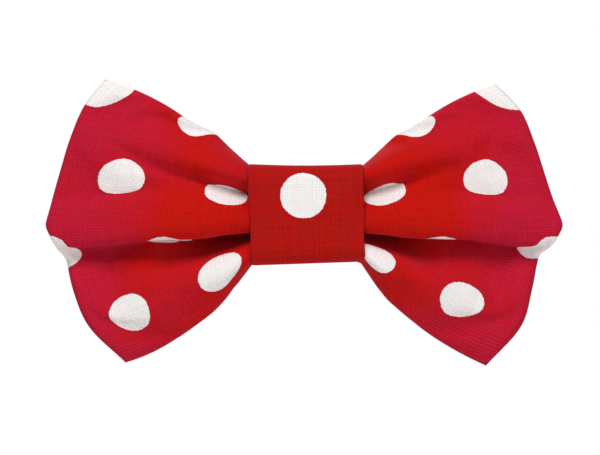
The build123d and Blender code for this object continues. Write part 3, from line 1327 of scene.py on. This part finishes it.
    def winding(self, finish: Material) -> None:
        """Wind the gathering thread round the waist as one long helix.

        Args:
            finish: the thread's material.
        """
        low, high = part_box("cinch_thread")
        centre, room = (low + high) / 2, (high - low) / 2 - Vector((self.thread,) * 3)
        angle = np.linspace(0.0, 2 * math.pi * self.turns, self.turns * 56)
        y, z = (np.sign(wave) * np.sqrt(np.abs(wave)) for wave in (np.cos(angle), np.sin(angle)))
        x = np.linspace(-room.x, room.x, len(angle))
        line = np.stack([x + centre.x, y * room.y + centre.y, z * room.z + centre.z], axis=-1)
        along = np.gradient(line, axis=0)
        along /= np.maximum(np.linalg.norm(along, axis=1, keepdims=True), 1e-12)
        sideways = np.tile([1.0, 0.0, 0.0], (len(line), 1))
        outwards = np.cross(along, sideways)
        around = np.linspace(0.0, 2 * math.pi, 7)
        points = line[:, None] + self.thread * (
            np.cos(around)[None, :, None] * sideways[:, None]
            + np.sin(around)[None, :, None] * outwards[:, None]
        )
        flat = np.stack(np.meshgrid(around * self.thread, angle * self.thread), axis=-1)
        piece = grid_mesh("cinch_thread_winding", points, flat)
        select_only(piece)
        with editing():
            bpy.ops.mesh.remove_doubles(threshold=1e-6)
            close_ends()
            bpy.ops.mesh.select_all(action="SELECT")
            bpy.ops.mesh.normals_make_consistent(inside=False)
        bpy.ops.object.shade_smooth()
        dress(piece, finish, node="cinch_thread")

    def whipping(self, finish: Material) -> None:
        """Whip the band's folded end down across the back.

        Args:
            finish: the thread's material.
        """
        low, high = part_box("knot_closing_stitches")
        back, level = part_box("knot_band")[1].y, (low.z + high.z) / 2
        row = StitchLine("knot_whip_thread", "knot_closing_stitches", length=1.5 * MM)
        slant, out = np.array([0.35, 0.0, 1.0]), np.array([0.0, 1.0, 0.0])
        for across in np.arange(low.x + self.whip_inset, high.x, self.whip_pitch):
            row.places.append(frame_at(np.array([across, back, level]), slant, out))
        row.build(finish)

    def build(self, thread: Material, felt: Material) -> None:
        """Build the knot's pieces and dress them.

        Args:
            thread: the sewing thread's finish.
            felt: the interfacing's finish.
        """
        # Painted shade: the knot's cotton is a darker copy of the bow's, in its ground and its gap,
        # though it is the same cloth.
        cotton = DottedCotton(
            "dotted_cotton_knot",
            gap=(0.270, 0.0016, 0.0014, 1.0),
            radius=5.0 * MM,
            ground=(0.490, 0.0100, 0.0065, 1.0),
            ground_sheen_and_patch_pink=(0.485, 0.0115, 0.0160, 1.0),
            first_dot=self.dot,
            skew=0.0,
            cross_grain=True,
        ).build()
        self.band(cotton)
        self.lining(felt)
        self.winding(thread)
        self.whipping(thread)


# ---- strap --------------------------------------------------------------------------------------


@dataclass(frozen=True)
class Tape:
    """A closure tape: its base, and the filaments that cover its working face, in metres."""

    node: str
    body: str
    out: float
    slot: Slot
    filaments: str
    pitch: float
    radius: float
    filament: float
    stray: float
    opening: float
    finish: Nylon
    base: float = 0.35 * MM
    corner: float = 0.12 * MM
    margin: float = 0.5 * MM
    sunk: float = 0.62
    seed: int = 7

    def seat(self, depth: float) -> float:
        """Depth of a level that lies so far above the tape's back, in metres."""
        low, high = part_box(self.node)
        return low.y + depth if self.out > 0 else high.y - depth

    def woven_base(self, finish: Material) -> None:
        """Make the tape's woven base, with rounded corners, from its CAD box.

        Args:
            finish: its material.
        """
        low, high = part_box(self.node)
        middle = ((low.x + high.x) / 2, self.seat(self.base / 2), (low.z + high.z) / 2)
        bpy.ops.object.select_all(action="DESELECT")
        bpy.ops.mesh.primitive_cube_add(size=1.0, location=middle)
        piece = bpy.context.active_object
        piece.name = self.node + "_base"
        piece.scale = (high.x - low.x, self.base, high.z - low.z)
        bpy.ops.object.transform_apply(location=True, rotation=True, scale=True)
        corners = piece.modifiers.new("corners", "BEVEL")
        corners.width = self.corner
        corners.segments = 3
        smooth(piece, angle=40.0)
        dress(piece, finish, self.body, self.node)

    def ring(self) -> Piece:
        """Model a small loop of monofilament, cut open at one side if it is a hook.

        Returns:
            The loop, standing along Z in the XZ plane.
        """
        bpy.ops.object.select_all(action="DESELECT")
        bpy.ops.mesh.primitive_torus_add(
            major_segments=12, minor_segments=4, major_radius=self.radius,
            minor_radius=self.filament, rotation=(math.pi / 2, 0.0, 0.0),
        )
        ring = bpy.context.active_object
        bpy.ops.object.transform_apply(location=False, rotation=True, scale=False)
        if self.opening:
            with editing("DESELECT"):
                bpy.ops.mesh.select_mode(type="FACE")
            for face in ring.data.polygons:
                x, _, z = face.center / self.radius
                face.select = x > 0.15 and -self.opening < z < 0.1
            with editing(""):
                bpy.ops.mesh.delete(type="FACE")
                close_ends()
        return ring

    def pile(self, finish: Material) -> None:
        """Cover the tape's working face with loops or with rows of hooks.

        Args:
            finish: their material.
        """
        low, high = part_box(self.node)
        seat = self.seat(self.base) + self.out * self.radius * self.sunk
        rng = np.random.default_rng(self.seed)
        places = []
        for z in np.arange(low.z + self.margin, high.z - self.margin, self.pitch):
            for x in np.arange(low.x + self.margin, high.x - self.margin, self.pitch * 0.9):
                stray = rng.normal(0.0, self.stray, 3)
                turn = rng.normal(0.0, 0.08) if self.opening else rng.uniform(0.0, math.pi)
                along = np.array([math.cos(turn), stray[1], math.sin(turn)])
                spot = np.array([x + stray[0] * MM, seat, z + stray[2] * MM])
                places.append(frame_at(spot, along, np.array([0.0, self.out, 0.0])))
        piece = copied_mesh(self.filaments, self.ring(), places)
        select_only(piece)
        bpy.ops.object.shade_smooth()
        dress(piece, finish, self.body)


@dataclass
class CollarStrap:
    """The webbing strap behind the knot, with its hook and loop closure and its stitching.

    Sizes are in mm.
    """

    webbing: float = 1.0
    overlap: float = 0.6
    selvedge: float = 0.22
    grip: float = 3.0
    stitch: float = 1.9
    stitch_pitch: float = 2.3
    stitch_reach: float = 6.0
    loops: Tape = Tape(
        "loop_tape", "bow", 1.0, Slot.PILE, "loop_pile", 0.36 * MM, 0.24 * MM, 0.022 * MM, 0.13,
        0.0, Nylon("loop_pile", roughness=0.5),
    )
    hooks: Tape = Tape(
        "hook_tape", "flap", -1.0, Slot.HOOKS, "hook_rows", 0.85 * MM, 0.20 * MM, 0.045 * MM, 0.02,
        0.8, Nylon("hook_tape", roughness=0.25),
    )

    def u_line(
        self, front: float, back: float, heights: tuple[float, float, float], counts: tuple[int, ...]
    ) -> np.ndarray:
        """Follow a run up or down the front, a half circle, and a run back along the back.

        Args:
            front: depth of the first run.
            back: depth of the second run.
            heights: where it starts, where both runs meet the bend, and where it ends.
            counts: points on the first run, the bend and the second run.

        Returns:
            Rows of (depth, height).
        """
        start, bend, end = heights
        radius, middle = (back - front) / 2, (back + front) / 2
        way = 1.0 if bend > start else -1.0
        turn = np.linspace(0.0, math.pi, counts[1])
        first = np.linspace(start, bend, counts[0])[:-1]
        last = np.linspace(bend, end, counts[2])[1:]
        arc = [middle - radius * np.cos(turn), bend + way * radius * np.sin(turn)]
        runs = ([np.full_like(first, front), first], arc, [np.full_like(last, back), last])
        return np.concatenate([np.stack(run, 1) for run in runs])

    def lines(self) -> tuple[np.ndarray, np.ndarray]:
        """Follow the webbing's middle: the sewn part round the lower bend, and the flap.

        Returns:
            The sewn part's line and the flap's, both from the stitches on the knot.
        """
        half = self.webbing / 2
        (low, high), (flap_low, flap_high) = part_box("strap_base"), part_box("strap_flap")
        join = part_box("anchor_stitches")[1].z / MM + self.overlap
        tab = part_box("loop_tape")[1].z / MM + self.overlap
        front, back, flap_back = low.y / MM + half, high.y / MM - half, flap_high.y / MM - half
        lower = low.z / MM + half + (back - front) / 2
        upper = flap_high.z / MM - half - (flap_back - front) / 2
        return (
            self.u_line(front, back, (join, lower, tab), (12, 22, 10)),
            self.u_line(front, flap_back, (join, upper, flap_low.z / MM), (4, 26, 22)),
        )

    def strip(self, name: str, line: np.ndarray, grip: float) -> tuple[Piece, float]:
        """Make a webbing strip along a line in the depth and height plane.

        Args:
            name: the piece's name.
            line: rows of (depth, height), in mm.
            grip: radius of the rounded corners at the line's far end, in mm.

        Returns:
            The piece and its flat length in metres.
        """
        low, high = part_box("strap_base")
        place = running_length(line)
        grid_u, grid_go = np.meshgrid(np.linspace(-1.0, 1.0, 31), place)
        missing = np.clip(grip - (place[-1] - grid_go), 0.0, grip)
        narrow = grip - np.sqrt(np.maximum(grip**2 - missing**2, 0.0))
        x = grid_u * ((high.x - low.x) / 2 / MM - narrow)
        depth, height = (np.broadcast_to(column[:, None], x.shape) for column in line.T)
        flat = np.stack([x, grid_go], axis=-1) * MM
        piece = grid_mesh(name, np.stack([x, depth, height], axis=-1) * MM, flat)
        wall = piece.modifiers.new("webbing", "SOLIDIFY")
        wall.thickness = self.webbing * MM
        wall.offset = 0.0
        soften = piece.modifiers.new("selvedge", "BEVEL")
        soften.width = self.selvedge * MM
        soften.segments = 2
        soften.limit_method = "ANGLE"
        smooth(piece)
        return piece, float(place[-1]) * MM

    def straps(self, finish: Material) -> None:
        """Make the sewn part and the flap, which is bent over at its top and rides on no body.

        Args:
            finish: the webbing's material.
        """
        base_line, flap_line = self.lines()
        base, length = self.strip("strap_base_webbing", base_line, 0.0)
        dress(base, finish, node="strap_base")
        flap, length = self.strip("strap_flap_webbing", flap_line, self.grip)
        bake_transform(flap)
        dress(flap, finish, body="", node="strap_flap")

    def stitching(self, finish: Material) -> None:
        """Sew the strap to the knot and each tape to the strap, with machine stitches.

        Args:
            finish: the thread's material.
        """
        base_low, base_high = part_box("strap_base")
        jobs = (
            ("anchor", "bow", 1.0, base_low.y + self.webbing * MM, 3),
            ("loop_tape", "bow", -1.0, base_high.y - self.webbing * MM, 2),
            ("hook_tape", "flap", 1.0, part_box("strap_flap")[1].y, 2),
        )
        reach, pitch, inset = self.stitch_reach * MM, self.stitch_pitch * MM, 0.2 * MM
        for name, body, out, face, rows in jobs:
            low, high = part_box(name + "_stitches")
            row = StitchLine(name + "_thread", name + "_stitches", body, length=self.stitch * MM)
            levels = np.linspace(low.z + inset, high.z - inset, rows)
            runs = [((-reach, level), (reach, level)) for level in levels]
            ends = (low.z + 2 * inset, high.z - 2 * inset)
            runs += [((side, ends[0]), (side, ends[1])) for side in (-reach, reach)]
            for start, end in runs:
                first, last = np.insert(start, 1, face), np.insert(end, 1, face)
                row.along(first, last, np.array([0.0, out, 0.0]), pitch)
            row.build(finish)

    def build(self, thread: Material) -> None:
        """Build the strap's pieces and dress them.

        Args:
            thread: the sewing thread's finish.
        """
        self.straps(WovenTape().build())
        tapes = [(tape, tape.finish.build()) for tape in (self.loops, self.hooks)]
        for tape, finish in tapes:
            tape.woven_base(finish)
        for tape, finish in tapes:
            tape.pile(finish)
        self.stitching(thread)


# ---- studio -------------------------------------------------------------------------------------


@dataclass(frozen=True)
class TableTop(Finish):
    """The studio's pale, matt table top."""

    name: str = "studio_floor"

    def surface(self, n: Nodes) -> dict[str, object]:
        """Say what feeds the shader.

        Args:
            n: the material's helper.

        Returns:
            A socket or a value for each of the shader's inputs.
        """
        cloud = n.noise(n.here(), 3.0)
        pale = n.mix(cloud, (0.93, 0.93, 0.93, 1.0), (0.96, 0.96, 0.96, 1.0))
        return {"Base Color": pale, "Roughness": 0.9, "Specular IOR Level": 0.0}


@dataclass
class Studio:
    """A pale table top, a white room, three soft boxes, and the camera in front of the bow."""

    lens: float = 85.0
    sensor: float = 36.0
    view_width: float = 132.4 * MM
    aim: tuple[float, float] = (-1.43 * MM, -2.98 * MM)
    floor_drop: float = 120.0 * MM
    floor_radius: float = 0.5
    room_light: float = 0.23
    soft_boxes: tuple[tuple[str, Row, float, float], ...] = (
        ("key", (-0.08, -0.50, 0.60), 0.36, 4.6),
        ("fill", (0.40, -0.60, 0.05), 0.50, 0.8),
        ("back", (-0.20, 0.60, 0.45), 0.50, 3.0),
    )

    def camera(self) -> None:
        """Place the camera level with the bow, looking along +Y."""
        data = bpy.data.cameras.new("camera")
        data.lens, data.sensor_width = self.lens, self.sensor
        camera = linked("camera", data)
        distance = self.view_width * self.lens / self.sensor
        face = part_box("bow_front_panel")[0].y
        camera.location = (self.aim[0], face - distance, self.aim[1])
        camera.rotation_euler = (math.pi / 2, 0.0, 0.0)
        bpy.context.scene.camera = camera

    def floor(self) -> None:
        """Lay a round pale table top well below the bow."""
        bpy.ops.object.select_all(action="DESELECT")
        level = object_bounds()[0].z - self.floor_drop
        bpy.ops.mesh.primitive_circle_add(
            vertices=96, radius=self.floor_radius, fill_type="NGON", location=(0.0, 0.0, level)
        )
        floor = bpy.context.active_object
        floor.name = "studio_floor"
        floor.data.materials.append(TableTop().build())
        floor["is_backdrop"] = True

    def light(self) -> None:
        """Light the bow from a dim white room, which the camera sees as white, and soft boxes."""
        scene = bpy.context.scene
        scene.view_settings.view_transform = "Standard"
        scene.world = world = bpy.data.worlds.new("white_room")
        world.use_nodes = True
        n = Nodes(world.node_tree)
        seen = n.add("LightPath").outputs["Is Camera Ray"]
        strength = n.fit(seen, 1.0 - self.room_light, self.room_light)
        glow = {"Color": (1.0, 1.0, 1.0, 1.0), "Strength": strength}
        n.fill(world.node_tree.nodes["Background"], glow)
        for name, place, size, power in self.soft_boxes:
            data = bpy.data.lights.new(name, "AREA")
            data.shape, data.size, data.energy = "SQUARE", size, power
            lamp = linked(name, data)
            lamp.location = place
            lamp.rotation_euler = (-Vector(place)).to_track_quat("-Z", "Y").to_euler()

    def build(self) -> None:
        """Set up the camera, the floor and the light."""
        self.camera()
        self.floor()
        self.light()


def main() -> None:
    """Build the bow tie piece by piece and set up the studio."""
    logging.basicConfig(level=logging.INFO, format="%(name)s: %(message)s")
    thread = SpunThread().build()
    felt = BondedFelt().build()
    Studio().build()
    GatheredBow().build(thread, felt)
    KnotBand().build(thread, felt)
    CollarStrap().build(thread)


if __name__ == "__main__":
    main()
